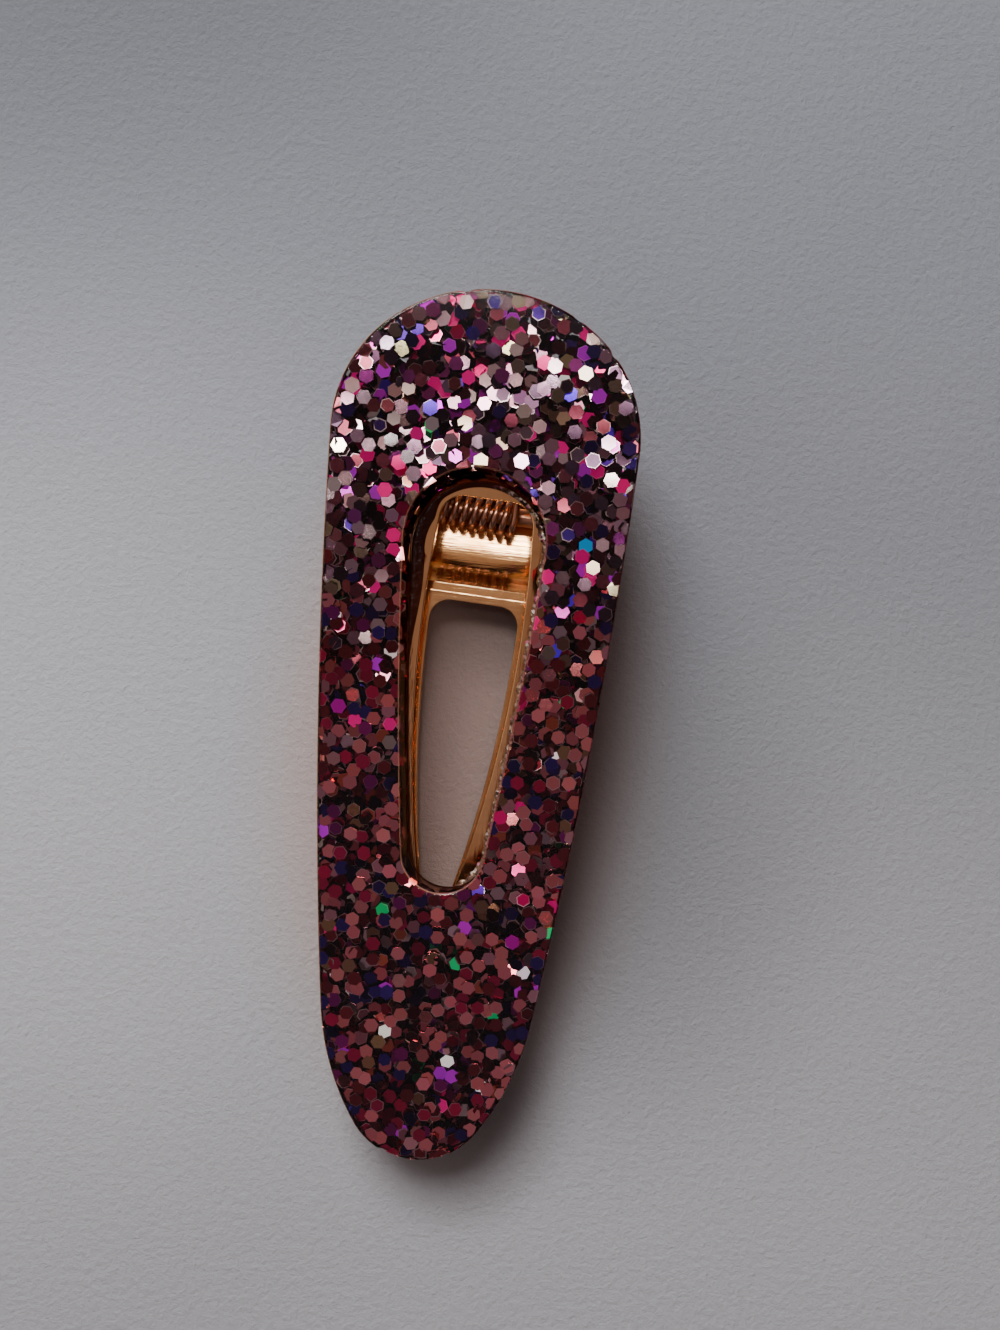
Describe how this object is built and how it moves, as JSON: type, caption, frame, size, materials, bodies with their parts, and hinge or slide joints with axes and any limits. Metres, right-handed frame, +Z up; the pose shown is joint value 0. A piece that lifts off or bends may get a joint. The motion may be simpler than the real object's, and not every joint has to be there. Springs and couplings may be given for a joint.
{
  "type": "hair clip",
  "caption": "Teardrop hair clip: a clear resin slab with glitter and a teardrop opening, glued on a hollow gold sprung clip that opens round its hinge pin.",
  "frame": {"origin": "on the surface that the clip lies on, under the middle of the whole clip", "axes": "+Z up, +Y along the clip towards the slab's wide end and the lever, +X across it"},
  "size_m": [0.0273, 0.08, 0.0137],
  "materials": {
    "resin": "clear glossy cast resin, dusty rose from the glitter in it",
    "gold_plate": "polished gold plating",
    "dark_plate": "dull brown plating"
  },
  "bodies": {
    "lower": {"lower_arm": "gold_plate"},
    "upper": {"resin_slab": "resin", "upper_arm": "gold_plate", "hinge_pin": "dark_plate", "spring": "dark_plate"}
  },
  "joints": [
    {"name": "clip_hinge", "type": "hinge", "parent": "lower", "child": "upper", "pos_m": [0.00075, 0.02177, 0.0037], "axis": [-0.9994, 0.0349, 0], "range_deg": [0, 24], "stiffness_Nm_per_rad": 0.05, "springref_deg": -57.3, "deforming": ["spring"]}
  ]
}
